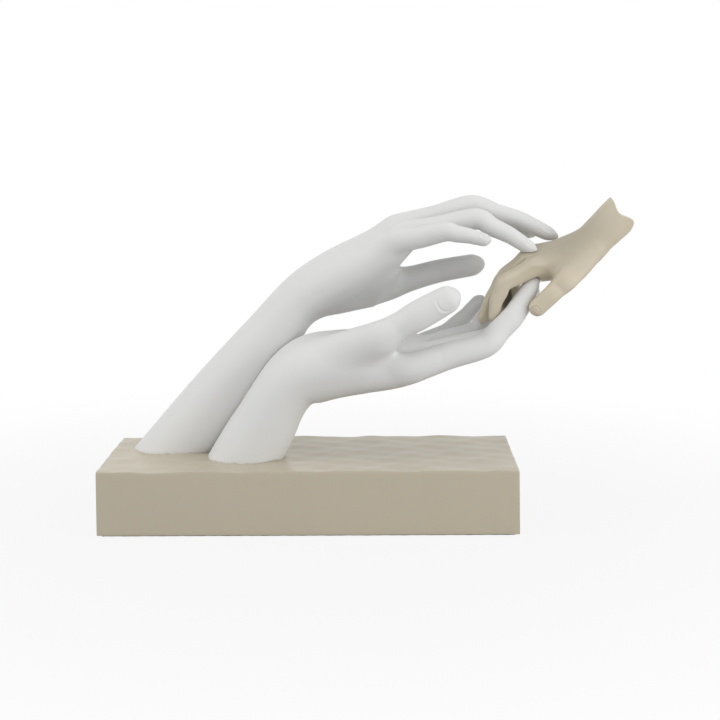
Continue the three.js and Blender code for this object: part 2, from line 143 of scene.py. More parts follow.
FRONT_HAND = {
    "foot": (-39, -6),
    "thumb_side": (0, -1, -0.3),
    "arm": [
        [-18, 0, -30, 22, 21, 21], [2, 0, 4.5, 22, 20.5, 20.5],
        [10.5, -0.5, 18.5, 22, 19.8, 19.8], [20, -1.5, 36, 22.5, 18, 18],
        [29.5, -2, 48, 23.5, 18, 18], [41, -2, 54.5, 25, 20, 18.5],
        [56, -1, 57.5, 27, 18.3, 17], [73, 1, 59.5, 30, 15.9, 15],
        [93, 2.5, 61, 31, 12.5, 12], [113, 2, 67, 26, 11, 8],
    ],
    "index": ((76, -16, 58.5), 8.9,
        [[26.5, -17, -1], [45.5, 2, 16.8], [25.8, 17, 45.5], [26.2, 27, 51.5]]),
    "middle": ((76, 0, 59), 8.8,
        [[27.5, -10, 2], [46, 2, 15], [24, 12, 40], [21, 14, 50]]),
    "ring": ((75, 14, 60), 8.0,
        [[27, 0, 4], [41, 0, 17.5], [19.5, 10, 54], [13.5, 10, 60]]),
    "pinky": ((72, 26, 58.5), 7.5,
        [[27.5, 10, 3], [27.5, 1, 23.9], [17.2, -6, 42.5], [16.6, -12, 47.5]]),
    "thumb": ((39, -7, 58), 10.6,
        [[51, -27.5, 21.6], [28.7, -6, 30], [27, -1, 29]]),
    "forms": {"index": [
        [0.93, 0.93, 0.93], [0.97, 0.95, 0.97], [1, 0.98, 1.16], [0.9, 0.84, 1.08],
        [0.85, 0.78, 0.86],
        [0.77, 0.84, 0.74], [0.71, 0.84, 0.66], [0.63, 0.48, 0.6], [0.46, 0.32, 0.44],
    ], "thumb": [
        [0.7, 0.7, 0.7], [1.1, 1, 1.1], [0.99, 0.88, 0.92], [0.78, 0.76, 0.8], [0.85, 0.72, 0.76],
        [0.76, 0.58, 0.66], [0.62, 0.4, 0.48],
    ]},
    "thumb_edge": (0, 0, 1),
    "nail": 1.0,
    "webs": (1.0, 0.7, 0.45),
    "taper": 0.85,
    "power": 2.0,
    "wrist": 3.8,
    "unit": 1.0,
}
CHILD_HAND = {
    "foot": (0, 0),
    "thumb_side": (0, -1, -0.4),
    "arm": [
        [206, -1.5, 162.5, 12.8, 11.8, 11.5], [188, -2, 146.3, 12.6, 11.4, 11.5],
        [178, -3, 136.5, 12.5, 10.9, 10.5], [169, -4, 128.5, 12.5, 10.8, 9.5],
        [153.5, -5, 121, 16, 10, 10], [139, -4.5, 118, 15.5, 8.9, 10.2],
        [128, -4, 114.5, 13, 5.5, 8.5],
    ],
    "index": ((148, -14, 119), 5.6,
        [[15, -160, -10], [18.5, -173, -27], [13, 169, -66], [12.5, 146, -81]]),
    "middle": ((147.5, -5, 122), 5.6,
        [[15, -168, -6], [19.8, -177, -38], [14.5, 180, -60], [15.6, 180, -68]]),
    "ring": ((148.5, 3, 122.5), 5.4,
        [[13.5, 180, -4], [20.4, 180, -39], [13.6, 180, -97], [12.7, 180, -88]]),
    "pinky": ((150, 10, 122), 5.5,
        [[11.5, 165, -7], [18, 176, -36], [13.4, 180, -104], [11, 180, -88]]),
    "thumb": ((170.7, -11, 124.8), 6.8,
        [[27, -143, -36], [13, -163, -41], [15.4, 180, -43.5]]),
    "forms": {"thumb": [
        [0.7, 0.7, 0.7], [1.05, 1, 1.1], [0.97, 0.88, 0.9], [0.82, 0.74, 0.78], [0.76, 0.66, 0.7],
        [0.72, 0.54, 0.62], [0.62, 0.4, 0.48],
    ]},
    "thumb_edge": (0.8, 0, -0.6),
    "nail": 0.7,
    "webs": (0.4, 0.4, 0.4),
    "taper": 0.75,
    "power": 3.2,
    "wrist": 2.6,
    "unit": 0.62,
}
DIGITS = ("index", "middle", "ring", "pinky", "thumb")
THUMB = 4

# How a finger swells and tapers: [half width, back, palm] as shares of its width,
# at each joint and once between joints. A hand's forms say the same of its thumb
# and of any finger that differs.
FINGER_FORM = np.array([
    [0.93, 0.93, 0.93], [0.97, 0.95, 0.97], [1, 0.98, 1.02], [0.9, 0.84, 0.95],
    [0.85, 0.76, 0.85], [0.77, 0.68, 0.74], [0.71, 0.6, 0.66], [0.63, 0.46, 0.6],
    [0.46, 0.32, 0.44],
])
# Where the section between two joints lies along a bone, and along the last one
MID_BONE = 0.5
PAD = 0.68
# Where the knuckle and the joint after it come among a finger's sections
KNUCKLE = 2
NEXT_JOINT = 4
ARM_POWER = 2.3

# Wavy end of the child's forearm, across its second section
WAVE_DEPTH = 1.68
WAVE_PITCH = 19.0
WAVE_LOBE = 6.5
WAVE_ROUNDING = 6.0

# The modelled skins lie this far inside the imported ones
SKIN_INSET = 0.3

# Samples along each stretch of a limb, how far from a limb its skin is sought,
# and how far past a sample its girth goes on swelling
SAMPLES = 16
REACH = 14.0
SWELL_REACH = 3

# Widths of the blends of an adult hand: of the ball of the thumb and of the
# fingers with the palm, and of the webs, each [least, added at its root]
HEEL_BLEND = 14
PALM_BLEND = 7
FINGER_WEB = (0.7, 7.5)
THUMB_WEB = (1, 18)

# Rounding of the edges where castings touch, at an arm's foot and at the wave
CONTACT_ROUNDING = 0.8
FOOT_ROUNDING = 0.3
WAVE_EDGE = 0.8

# Details are sized for a finger of this half breadth, and scaled to the others.
# Heights are in millimetres for the hand, and shares of the depth for nails.
ADULT_WIDTH = 8.8
NAIL_LENGTH, NAIL_WIDTH, NAIL_MARGIN = 0.27, 0.55, 0.01
NAIL_PLATE, NAIL_GROOVE, NAIL_FOLD = 0.35, 0.75, 0.4
KNUCKLE_RISE = 0.5
CREASE_SHARE = 0.5
WRINKLE_PITCH = 1.9
PALM_HOLLOW = 2.6
PALM_HEELS = 1.6
TENDON_RISE = 0.4

# Settling moves points by this share of their distance, and no further than this
SETTLE_SHARE = 0.85
SETTLE_LIMIT = 1.2
# The net's cells are halved this often, within this many sizes of the skin
HALVINGS = 2
NEAR_SIZES = 1.4
# The mesh is split this near to a digit's skin and its nail, and in the cleft of
# two digits: the second one's distance, and how much farther it is than the first
SKIN_ZONE = 1.2
NAIL_ZONE = 1.2
CLEFT_ZONE = (1.6, 1.4)
# Faces that meet at more than this many radians keep a crisp edge
SHARP_ANGLE = 1.0

# Holes for the hardware. The block's counterbores and bolt holes are this much
# wider than the washers and bolts.
HARDWARE_CLEARANCE = 0.15
COUNTERBORE_ROOM = 2.0
BOLT_ROOM = 0.5
PIN_LENGTH = 12.0
PIN_RADIUS = 1.25
BOLT_RADIUS = 4.0
ROD_SIDES = 48


# Curves and limbs

def unit_rows(rows):
    return rows / np.linalg.norm(rows, axis=-1, keepdims=True)


def dots(a, b):
    return (a * b).sum(axis=-1)


def smooth_step(low, high, value):
    """Rises from 0 to 1 between low and high as 3t^2 - 2t^3."""
    t = np.clip((value - low) / (high - low), 0, 1)
    return t * t * (3 - 2 * t)


def bell(value, spread):
    """e to the power of minus the square of value over spread."""
    return np.exp(-((value / spread) ** 2))


def spline(points, places):
    """Catmull-Rom curve and its slope at places counted in points: on each stretch a cubic whose
    end slopes are half the chord between the neighbours. It runs on straight past both ends."""
    padded = np.vstack([2 * points[0] - points[1], points, 2 * points[-1] - points[-2]])
    first = np.clip(places.astype(int), 0, len(points) - 2)
    t = (places - first)[:, None]
    a, b, c, d = (padded[first + k] for k in range(4))
    linear, square, cube = c - a, 2 * a - 5 * b + 4 * c - d, 3 * b - a - 3 * c + d
    at = (2 * b + linear * t + square * t**2 + cube * t**3) / 2
    return at, (linear + 2 * square * t + 3 * cube * t**2) / 2


def limb(stations, side, power):
    """Samples a limb along the curve through its stations. Across is the side direction square to
    the curve, and back is the curve's direction crossed with it."""
    stations = np.array(stations, float)
    stretches = len(stations) - 1
    places = np.linspace(0, stretches, stretches * SAMPLES + 1)
    centre, slope = spline(stations[:, :3], places)
    girth, _ = spline(stations[:, 3:], places)
    along = unit_rows(slope)
    side = np.array(side, float)
    across = unit_rows(side - along * (along @ side)[:, None])
    steps = np.linalg.norm(np.diff(centre, axis=0), axis=1)
    arc = np.concatenate([[0], np.cumsum(steps)])
    return SimpleNamespace(
        centre=centre, along=along, across=across, back=np.cross(along, across), girth=girth,
        arc=arc, swell=np.gradient(girth, arc, axis=0), joints=arc[::SAMPLES],
        dome=arc[-1 - SAMPLES], length=arc[-1], power=power,
    )


def bone_ends(hand, root, bones):
    """The joints of a digit: each bone adds its length along its bearing and rise."""
    length, bearing, rise = np.array(bones, float).T
    bearing, rise = np.radians(bearing), np.radians(rise)
    level = length * np.cos(rise)
    steps = [level * np.cos(bearing), level * np.sin(bearing), length * np.sin(rise)]
    start = np.array(root, float) + (*hand["foot"], BLOCK_TOP)
    return np.vstack([start, start + np.cumsum(np.stack(steps, axis=1), axis=0)])


def digit_limb(hand, name):
    """A digit along its bones, with a section at each joint and between joints."""
    root, width, bones = hand[name]
    ends = bone_ends(hand, root, bones)
    shares = np.full(len(bones), MID_BONE)
    shares[-1] = PAD
    places = np.empty((2 * len(bones) + 1, 3))
    places[::2], places[1::2] = ends, ends[:-1] + (ends[1:] - ends[:-1]) * shares[:, None]
    form = np.array(hand["forms"].get(name, FINGER_FORM))
    form = width * (1 - hand["taper"] * (1 - form))
    side = hand["thumb_edge"] if name == "thumb" else hand["thumb_side"]
    made = limb(np.hstack([places, form]), side, hand["power"])
    made.width, made.scale, made.nail = width, width / ADULT_WIDTH, hand["nail"]
    return made


def hand_limbs(hand):
    """The limbs of a hand: its arm, the ball of its thumb where that is a limb of its own, and its
    five digits, with the place of its wrist along the arm and of each knuckle on its back."""
    foot = (*hand["foot"], BLOCK_TOP, 0, 0, 0)
    arm = limb(np.array(hand["arm"], float) + foot, hand["thumb_side"], ARM_POWER)
    arm.wrist = np.interp(hand["wrist"], np.arange(len(arm.joints)), arm.joints)
    arm.breadth = arm.girth[-2 * SAMPLES, 0]
    heels = []
    if "heel" in hand:
        heel = np.array(hand["heel"], float) + foot
        heels.append(limb(heel, hand["heel_side"], hand["power"]))
    digits = [digit_limb(hand, name) for name in DIGITS]
    for digit in digits[:THUMB]:
        _, place = limb_distance(arm, digit.centre[KNUCKLE * SAMPLES][None])
        digit.palm_place = place[0, 0], place[0, 1] * arm.breadth
    return SimpleNamespace(
        arm=arm, heels=heels, digits=digits, webs=hand["webs"], unit=hand["unit"])


# Distances from the skins

def limb_distance(part, points):
    """Rough signed distance from a limb's skin, and where each point lies on the limb: its arc
    length, and its reach across and towards the back as shares of the girth. At the nearest sample
    the norm K joins the superellipse of the section with the share of the dome; the distance is
    (K - 1) / |slope of K|."""
    margin = part.girth.max() + REACH
    low, high = part.centre.min(0) - margin, part.centre.max(0) + margin
    close = np.all((points > low) & (points < high), axis=1)
    distance = np.full(len(points), 2 * REACH)
    place = np.zeros((len(points), 3))
    found = points[close]
    middle = part.centre.mean(0)
    local = (found - middle).astype(np.float32)
    samples = (part.centre - middle).astype(np.float32)
    nearest = np.argmin(dots(samples, samples) - 2 * (local @ samples.T), axis=1)
    offset = found - part.centre[nearest]
    onward = dots(offset, part.along[nearest])
    across, back = dots(offset, part.across[nearest]), dots(offset, part.back[nearest])
    swelling = np.clip(onward, -SWELL_REACH, SWELL_REACH)[:, None]
    girth = part.girth[nearest] + part.swell[nearest] * swelling
    wide = girth[:, 0]
    tall = np.where(back > 0, girth[:, 1], girth[:, 2])
    arc = part.arc[nearest] + onward
    dome = part.length - part.dome
    n = part.power
    x, y = np.abs(across) / wide, np.abs(back) / tall
    section = np.maximum((x**n + y**n) ** (1 / n), 1e-6)
    past = np.maximum(arc - part.dome, 0) / dome
    before = np.maximum(-arc, 0) / wide
    norm = np.sqrt(section**2 + past**2 + before**2)
    slope_x = section ** (2 - n) * x ** (n - 1) / wide
    slope_y = section ** (2 - n) * y ** (n - 1) / tall
    slope = np.sqrt(slope_x**2 + slope_y**2 + (past / dome) ** 2 + (before / wide) ** 2) / norm
    distance[close] = (norm - 1) / np.maximum(slope, 1e-4)
    place[close] = np.stack([arc, across / wide, back / tall], axis=1)
    return distance, place


def blend(a, b, width):
    """Smooth union of two distances: the smaller, less width/6 times the cubed overlap."""
    overlap = np.maximum(width - np.abs(a - b), 0) / width
    return np.minimum(a, b) - overlap**3 * width / 6


def cut(a, b, width):
    """Smooth intersection of two distances."""
    return -blend(-a, -b, width)


def ripple(x, y):
    """Height of the block's top above its level: a sum of plane sine waves."""
    turn = 2 * np.pi / RIPPLE_PITCH
    waves = [share * np.sin(turn * (along_x * x + along_y * y) + start)
             for along_x, along_y, share, start in RIPPLE_WAVES]
    return RIPPLE_HEIGHT / 2 * sum(waves)


def past_the_wave(points):
    """Distance past the wavy end of the child's forearm: the overshoot over the length of (1,
    slope). At v across the forearm, seen from the front, the end reaches depth (1 + cos(turn (v +
    lobe))), less the square of the distance below the lobe over a rounding."""
    far, at = np.array(CHILD_HAND["arm"], float)[:2, :3]
    onward = unit_rows((far - at) * (1, 0, 1))
    upward = np.array([-onward[2], 0, onward[0]])
    offset = points - (at + (0, 0, BLOCK_TOP))
    u, v = offset @ onward, offset @ upward
    turn = 2 * np.pi / WAVE_PITCH
    below = np.maximum(0, -v - WAVE_LOBE)
    reach = WAVE_DEPTH * (1 + np.cos(turn * (v + WAVE_LOBE))) - below**2 / WAVE_ROUNDING
    slope = 2 * below / WAVE_ROUNDING - WAVE_DEPTH * turn * np.sin(turn * (v + WAVE_LOBE))
    return (u - reach) / np.sqrt(1 + slope**2)


def nail_distance(digit, arc, across):
    """Distance outside the edge of a nail, a rounded rectangle |x|^3 + |s|^3 = 1 over the last
    bone, and s, which runs from -1 at its root to 1 at its end."""
    bone = digit.length - digit.joints[-3]
    half_long = digit.nail * NAIL_LENGTH * bone
    half_wide = digit.nail * NAIL_WIDTH * digit.width
    s = (arc - (digit.length - NAIL_MARGIN * bone - half_long)) / half_long
    x = across * digit.girth[-SAMPLES, 0] / (half_wide * (1 + 0.06 * s))
    return ((np.abs(s) ** 3 + np.abs(x) ** 3) ** (1 / 3) - 1) * min(half_long, half_wide), s


def nail_relief(digit, place, depth):
    """A nail plate on the back of the tip, in a groove with a low fold of skin round it."""
    arc, across, back = place.T
    outside, s = nail_distance(digit, arc, across)
    scale = digit.scale
    plate = 1 - smooth_step(-0.25 * scale, 0.25 * scale, outside)
    groove = bell(outside + 0.05 * scale, 0.42 * scale) * (1 - 0.5 * smooth_step(0.6, 1.0, s))
    fold = bell(outside - 0.95 * scale, 0.7 * scale) * (1 - smooth_step(0.3, 0.8, s))
    rise = NAIL_PLATE * plate - NAIL_GROOVE * groove + NAIL_FOLD * fold
    return smooth_step(0.05, 0.3, back) * depth * rise


def joint_relief(digit, place, depth):
    """Creases on the palm side at each joint and at the web, with knuckles and fine wrinkles on the
    back. They grow weaker from joint to joint."""
    arc, across, back = place.T
    scale = digit.scale
    knuckle, *bends = digit.joints[KNUCKLE:-1:2]
    palm_side, back_side = smooth_step(0.05, 0.5, -back), smooth_step(0.2, 0.75, back)
    bowed = arc + 0.8 * scale * across**2
    relief = KNUCKLE_RISE * bell(arc - knuckle, 5 * scale) * back_side
    if len(bends) > 1:
        web = knuckle + 0.42 * (bends[0] - knuckle)
        relief -= CREASE_SHARE * depth * bell(bowed - web, 0.9 * scale) * palm_side
    for order, bend in enumerate(bends):
        strength = CREASE_SHARE - 0.15 * order
        lines = bell(bowed - bend - 0.9 * scale, 0.55 * scale)
        lines = lines + 0.7 * bell(bowed - bend + 1.2 * scale, 0.5 * scale)
        relief -= strength * depth * lines * palm_side
        wrinkles = 0.5 + 0.5 * np.cos(2 * np.pi * (arc - bend) / (WRINKLE_PITCH * scale))
        near = strength * scale * back_side * bell(arc - bend, 4.2 * scale)
        relief += near * (0.3 - 0.16 * wrinkles)
    return relief


def palm_relief(hand, place):
    """The hollow of the palm between the heels of the thumb and of the little finger, and the
    tendons that fan out over the back from the wrist to the knuckles."""
    arm, scale = hand.arm, hand.unit
    arc, across, back = place.T
    lateral = across * arm.breadth
    palm_side, back_side = smooth_step(0.1, 0.6, -back), smooth_step(0.2, 0.6, back)
    along = (arc - arm.wrist) / (arm.length - arm.wrist)
    hollow = -PALM_HOLLOW * bell(along - 0.62, 0.26) * bell(lateral + 1.5 * scale, 13 * scale)
    heels = PALM_HEELS * bell(along - 0.3, 0.25) * (
        bell(lateral - 14 * scale, 9 * scale) + 0.8 * bell(lateral + 16 * scale, 8 * scale))
    tendons = 0
    for digit in hand.digits[:THUMB]:
        end, target = digit.palm_place
        share = np.clip((arc - arm.wrist) / (end - arm.wrist), 0, 1)
        ridge = bell(lateral - target * (0.25 + 0.75 * share), 1.9 * scale)
        tendons = tendons + ridge * smooth_step(0.05, 0.4, share) * smooth_step(1.15, 0.95, share)
    return scale * palm_side * (hollow + heels) + TENDON_RISE * scale * back_side * tendons


def web_width(widths, start, end, past):
    """Width of a web's blend, which narrows from start to end, in shares past the knuckle."""
    least, added = widths
    return least + added * (1 - smooth_step(start, end, past))


def skin_distance(hand, points, depth):
    """Rough signed distance from a hand's skin, and each digit's places and distances. The skin is
    the smooth union of the arm and digits, with webs that narrow along the fingers and the thumb,
    less the relief of palm, joints and nails."""
    scale = hand.unit
    arm, arm_place = limb_distance(hand.arm, points)
    found = [limb_distance(digit, points) for digit in hand.digits]
    distances = np.array([distance for distance, _ in found])
    places = [place for _, place in found]
    past = []
    for place, digit in zip(places, hand.digits):
        knuckle, joint = digit.joints[KNUCKLE], digit.joints[NEXT_JOINT]
        past.append((place[:, 0] - knuckle) / (joint - knuckle))
    fingers = distances[0]
    for near, reach in enumerate(hand.webs):
        width = web_width(FINGER_WEB, -0.2, reach, np.maximum(past[near], past[near + 1]))
        fingers = blend(fingers, distances[near + 1], width * scale)
    palm = arm
    for heel in hand.heels:
        palm = blend(palm, limb_distance(heel, points)[0], HEEL_BLEND * scale)
    palm = blend(palm, fingers, PALM_BLEND * scale)
    whole = blend(palm, distances[THUMB], web_width(THUMB_WEB, 0.1, 0.8, past[THUMB]) * scale)
    relief = palm_relief(hand, arm_place) * smooth_step(3 * scale, 0.5 * scale, arm)
    for k, digit in enumerate(hand.digits):
        others = np.min(np.delete(distances, k, axis=0), axis=0)
        own = np.clip(0.5 + (others - distances[k]) / (0.6 * scale), 0, 1)
        near = own * smooth_step(2.5 * scale, 1.0 * scale, np.abs(distances[k]))
        joints = joint_relief(digit, places[k], depth * scale)
        relief = relief + near * (joints + nail_relief(digit, places[k], depth))
    return whole - relief + SKIN_INSET, places, distances


# Meshes

def mesh_of(name, points, triangles):
    """A Blender mesh in metres from points in millimetres."""
    mesh = bpy.data.meshes.new(name)
    mesh.vertices.add(len(points))
    mesh.vertices.foreach_set("co", (points * MM).astype(np.float32).ravel())
    mesh.loops.add(triangles.size)
    mesh.loops.foreach_set("vertex_index", triangles.astype(np.int32).ravel())
    mesh.polygons.add(len(triangles))
    mesh.polygons.foreach_set("loop_start", np.arange(0, triangles.size, 3, dtype=np.int32))
    mesh.update(calc_edges=True)
    mesh.shade_smooth()
    return mesh


def arrays_of(mesh):
    """The points, in millimetres, and the triangles of a Blender mesh."""
    mesh.calc_loop_triangles()
    points = np.empty(3 * len(mesh.vertices), np.float32)
    mesh.vertices.foreach_get("co", points)
    triangles = np.empty(3 * len(mesh.loop_triangles), np.int32)
    mesh.loop_triangles.foreach_get("vertices", triangles)
    return points.reshape(-1, 3).astype(float) / MM, triangles.reshape(-1, 3)


def joined(parts):
    """Several meshes as one."""
    counts = np.cumsum([0] + [len(points) for points, _ in parts])
    triangles = [faces + count for (_, faces), count in zip(parts, counts)]
    return np.vstack([points for points, _ in parts]), np.vstack(triangles)


def linked(name, data):
    """A new object of some data, in the scene."""
    piece = bpy.data.objects.new(name, data)
    bpy.context.scene.collection.objects.link(piece)
    return piece


def bored(name, arrays, holes):
    """Arrays of a mesh with holes cut in it."""
    tools = [linked(f"{name}_hole", mesh_of(f"{name}_hole", *hole)) for hole in holes]
    piece = linked(name, mesh_of(name, *arrays))
    for cutter in tools:
        modifier = piece.modifiers.new("hole", "BOOLEAN")
        modifier.operation = "DIFFERENCE"
        modifier.solver = "MANIFOLD"
        modifier.object = cutter
    evaluated = piece.evaluated_get(bpy.context.evaluated_depsgraph_get())
    points, triangles = arrays_of(evaluated.to_mesh())
    evaluated.to_mesh_clear()
    for used in (piece, *tools):
        mesh = used.data
        bpy.data.objects.remove(used)
        bpy.data.meshes.remove(mesh)
    if len(points) == len(arrays[0]):
        raise RuntimeError(f"No hole was cut in {name}")
    return points, triangles


def normals_of(points, triangles):
    """Unit normal at each point: the sum of its triangles' normals, weighted by their areas."""
    a, b, c = (points[triangles[:, k]] for k in range(3))
    face = np.cross(b - a, c - a)
    total = np.stack([
        sum(np.bincount(triangles[:, k], face[:, axis], len(points)) for k in range(3))
        for axis in range(3)
    ], axis=1)
    return total / np.maximum(np.linalg.norm(total, axis=1, keepdims=True), 1e-12)


def settle(points, triangles, distance, rounds):
    """Moves each point along its normal by its distance from the wanted skin, a few times over."""
    for _ in range(rounds):
        step = np.clip(distance(points), -SETTLE_LIMIT, SETTLE_LIMIT)
        points = points - SETTLE_SHARE * step[:, None] * normals_of(points, triangles)
    return points


CORNERS = np.array([[x, y, z] for x in (0, 1) for y in (0, 1) for z in (0, 1)])
EDGES = [(a, b) for a in range(8) for b in range(a + 1, 8)
         if np.abs(CORNERS[a] - CORNERS[b]).sum() == 1]


def net(distance, low, high, cell):
    """The skin of a distance as a net of points and triangles. Cells near the skin are halved.
    Each cell that it crosses holds a point, the mean of its crossings a / (a - b) along the edges,
    and four cells make a face across each edge that it crosses."""
    finest = 2**HALVINGS
    size = finest * cell
    shape = np.ceil((high - low) / size).astype(int)
    spans = np.meshgrid(*map(np.arange, shape), indexing="ij")
    cells = np.stack(spans, axis=-1).reshape(-1, 3)
    for _ in range(HALVINGS):
        near = np.abs(distance(low + (cells + 0.5) * size)) < NEAR_SIZES * size
        cells = (2 * cells[near][:, None] + CORNERS).reshape(-1, 3)
        size /= 2
    grid = finest * shape + 1
    corners = np.ravel_multi_index((cells[:, None] + CORNERS).reshape(-1, 3).T, grid)
    keys, which = np.unique(corners, return_inverse=True)
    values = distance(low + np.stack(np.unravel_index(keys, grid), axis=1) * size)
    values = values[which.reshape(-1)].reshape(-1, 8)
    inside = values < 0
    crossed = inside.any(axis=1) & ~inside.all(axis=1)
    cells, values, inside = cells[crossed], values[crossed], inside[crossed]
    total, count = np.zeros((len(cells), 3)), np.zeros(len(cells))
    for a, b in EDGES:
        cuts = inside[:, a] != inside[:, b]
        share = np.where(cuts, values[:, a] / np.where(cuts, values[:, a] - values[:, b], 1), 0)
        total += cuts[:, None] * CORNERS[a] + share[:, None] * (CORNERS[b] - CORNERS[a])
        count += cuts
    points = low + (cells + total / count[:, None]) * size
    numbers = np.ravel_multi_index(cells.T, grid)
    order = np.argsort(numbers)
    quads = []
    for axis in range(3):
        cuts = inside[:, 0] != inside[:, 4 >> axis]
        across, up = np.eye(3, dtype=int)[[(axis + 1) % 3, (axis + 2) % 3]]
        steps = (0 * up, across, across + up, up)
        ring = [np.ravel_multi_index((cells[cuts] - step).T, grid) for step in steps]
        found = np.searchsorted(numbers, ring, sorter=order)
        if (numbers[order[found]] != ring).any():
            raise RuntimeError("The net has a gap: the skin leaves the cells that were kept")
        quad = order[found].T
        quads.append(np.where(inside[cuts, :1], quad, quad[:, ::-1]))
    a, b, c, d = np.vstack(quads).T
    first, second = (np.linalg.norm(points[p] - points[q], axis=1) for p, q in ((a, c), (b, d)))
    halves = [np.where(first < second, one, other)
              for one, other in ((a, a), (b, b), (c, d), (a, b), (c, c), (d, d))]
    return points, np.vstack([np.stack(halves[:3], axis=1), np.stack(halves[3:], axis=1)])


def refined(points, triangles, wanted):
    """Splits each edge with two wanted ends at its middle, and each triangle into 2, 3 or 4."""
    edges = np.stack([triangles, np.roll(triangles, -1, axis=1)], axis=-1)
    edges = np.sort(edges, axis=-1).reshape(-1, 2)
    pairs, which = np.unique(edges, axis=0, return_inverse=True)
    split = wanted[pairs].all(axis=1)
    number = np.where(split, len(points) + np.cumsum(split) - 1, -1)
    middles = number[which.reshape(-1)].reshape(-1, 3)
    points = np.vstack([points, points[pairs[split]].mean(axis=1)])
    count = (middles >= 0).sum(axis=1)
    made = [triangles[count == 0]]
    for turn in range(3):
        a, b, c = (triangles[:, (turn + k) % 3] for k in range(3))
        ab, bc, ca = (middles[:, (turn + k) % 3] for k in range(3))
        one = (count == 1) & (ab >= 0)
        two = (count == 2) & (ab >= 0) & (bc >= 0)
        made += [np.stack(t, axis=1)[one] for t in ((a, ab, c), (ab, b, c))]
        made += [np.stack(t, axis=1)[two] for t in ((ab, b, bc), (a, ab, bc), (a, bc, c))]
        if turn == 0:
            quarters = ((a, ab, ca), (ab, b, bc), (ca, bc, c), (ab, bc, ca))
            made += [np.stack(t, axis=1)[count == 3] for t in quarters]
    return points, np.vstack(made)


# Hands

def hand_casting(name, table, sizes, others, is_standing, holes):
    """Casts one hand: a net of its skin, cut by what it stands on and touches, which is then
    settled onto the skin with its details, on a mesh that is finer at nails and clefts."""
    hand = hand_limbs(table)
    cell = sizes.voxel * hand.unit * 1

    def distance(at):
        whole, _, _ = skin_distance(hand, at, sizes.detail_depth)
        for other in others:
            touching, _, _ = skin_distance(other, at, sizes.detail_depth)
            whole = cut(whole, sizes.casting_gap - touching, CONTACT_ROUNDING * hand.unit)
        if is_standing:
            top = BLOCK_TOP + ripple(at[:, 0], at[:, 1])
            return cut(whole, top - sizes.foot_sink - at[:, 2], FOOT_ROUNDING)
        return cut(whole, past_the_wave(at), WAVE_EDGE)

    limbs = [hand.arm, *hand.heels, *hand.digits]
    lows = [(part.centre - part.girth.max()).min(axis=0) for part in limbs]
    highs = [(part.centre + part.girth.max()).max(axis=0) for part in limbs]
    low, high = np.min(lows, axis=0) - 2 * cell, np.max(highs, axis=0) + 2 * cell
    if is_standing:
        low[2] = BLOCK_TOP - RIPPLE_HEIGHT - 2 * cell
    points, triangles = net(distance, low, high, cell)
    points = settle(points, triangles, distance, 2)
    for level in range(2):
        points, triangles = refined(points, triangles, fine_zone(hand, points, level))
        points = settle(points, triangles, distance, 1)
    points = settle(points, triangles, distance, 1)
    return bored(name, (points, triangles), holes)


def fine_zone(hand, points, level):
    """Where the mesh is split: first at nails and between the digits, then at nails alone."""
    _, places, distances = skin_distance(hand, points, 0)
    scale = hand.unit
    wanted = np.zeros(len(points), bool)
    for place, digit, distance in zip(places, hand.digits, distances):
        outside, _ = nail_distance(digit, place[:, 0], place[:, 1])
        on_back = (np.abs(distance) < SKIN_ZONE) & (place[:, 2] > 0)
        wanted |= on_back & (outside < (2 - level) * NAIL_ZONE * scale)
    if level == 0:
        nearest, second = np.sort(distances, axis=0)[:2]
        wanted |= (second < CLEFT_ZONE[0] * scale) & (second - nearest < CLEFT_ZONE[1] * scale)
    return wanted


# Block and felt

def soft_box(low, high, radius, cell):
    """A box on a grid. Its edges are rounded: each point moves to a radius from an inner box."""
    size = high - low
    cells = np.maximum(np.round(size / cell).astype(int), 3)
    faces = []
    for axis in range(3):
        u, v = (axis + 1) % 3, (axis + 2) % 3
        spans = (np.linspace(0, 1, cells[side] + 1) for side in (u, v))
        grid_u, grid_v = np.meshgrid(*spans, indexing="ij")
        index = np.arange(grid_u.size).reshape(grid_u.shape)
        a, b, c, d = index[:-1, :-1], index[1:, :-1], index[1:, 1:], index[:-1, 1:]
        halves = [np.stack(t, axis=-1).reshape(-1, 3) for t in ((a, b, c), (a, c, d))]
        out = np.concatenate(halves)
        for end in (0, 1):
            share = np.empty((grid_u.size, 3))
            share[:, axis], share[:, u], share[:, v] = end, grid_u.ravel(), grid_v.ravel()
            faces.append((low + share * size, out if end else out[:, ::-1]))
    points, triangles = joined(faces)
    points, which = np.unique(np.round(points, 4), axis=0, return_inverse=True)
    inner = np.clip(points, low + radius, high - radius)
    rounded = inner + radius * unit_rows(points - inner + 1e-9)
    flat = np.abs(points - inner).max(axis=1) < 1e-6
    return np.where(flat[:, None], points, rounded), which.reshape(-1)[triangles]


def rippled_block(sizes):
    """A soft box whose sides spread by the draft downwards and whose top follows the ripples."""
    low, high = BLOCK_LOW.copy(), BLOCK_HIGH.copy()
    low[:2] += BLOCK_DRAFT
    high[:2] -= BLOCK_DRAFT
    high[2] = BLOCK_TOP
    points, triangles = soft_box(low, high, sizes.edge_radius, sizes.cell)
    share = (points[:, 2] - low[2]) / (high[2] - low[2])
    x, y = points[:, 0].copy(), points[:, 1].copy()
    points[:, 0] += BLOCK_DRAFT * (1 - share) * x / high[0]
    points[:, 1] += BLOCK_DRAFT * (1 - share) * y / high[1]
    points[:, 2] += ripple(x, y) * smooth_step(0.75, 1, share)
    return points, triangles


